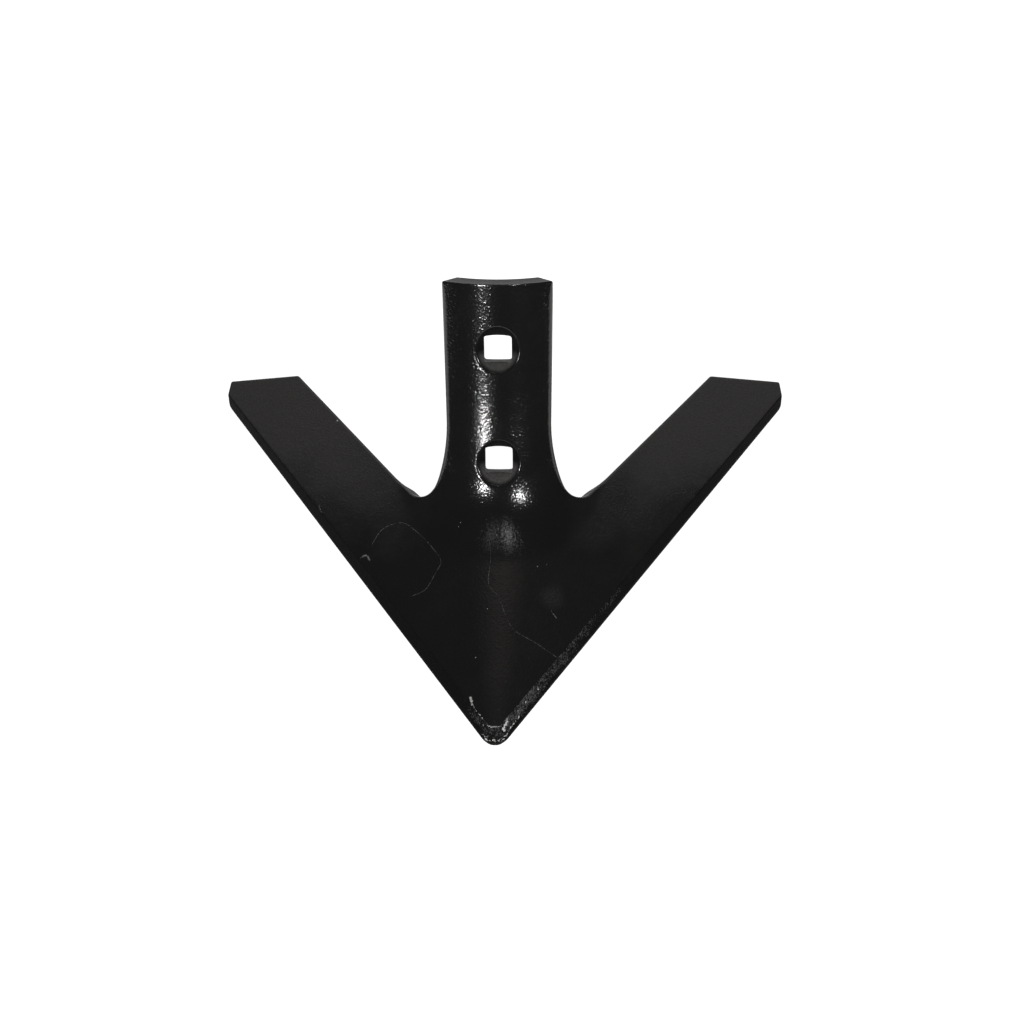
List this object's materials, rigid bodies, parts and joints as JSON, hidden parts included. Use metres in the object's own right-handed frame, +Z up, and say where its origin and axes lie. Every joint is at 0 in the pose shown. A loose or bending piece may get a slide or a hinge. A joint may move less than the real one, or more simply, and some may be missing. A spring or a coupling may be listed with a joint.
{
  "type": "cultivator sweep",
  "caption": "V-shaped cultivator sweep: flat bevelled wings, a rounded ridge and a crowned stem with countersunk square bolt holes.",
  "frame": {"origin": "on the ground under the middle of the sweep's box, as it stands on its two cutting edges", "axes": "+X across the sweep, +Y to the rear, away from the nose, +Z up"},
  "size_m": [0.2286, 0.1648, 0.092],
  "materials": {
    "black_paint": "satin"
  },
  "bodies": {
    "root": {"sweep": "black_paint"}
  },
  "joints": []
}
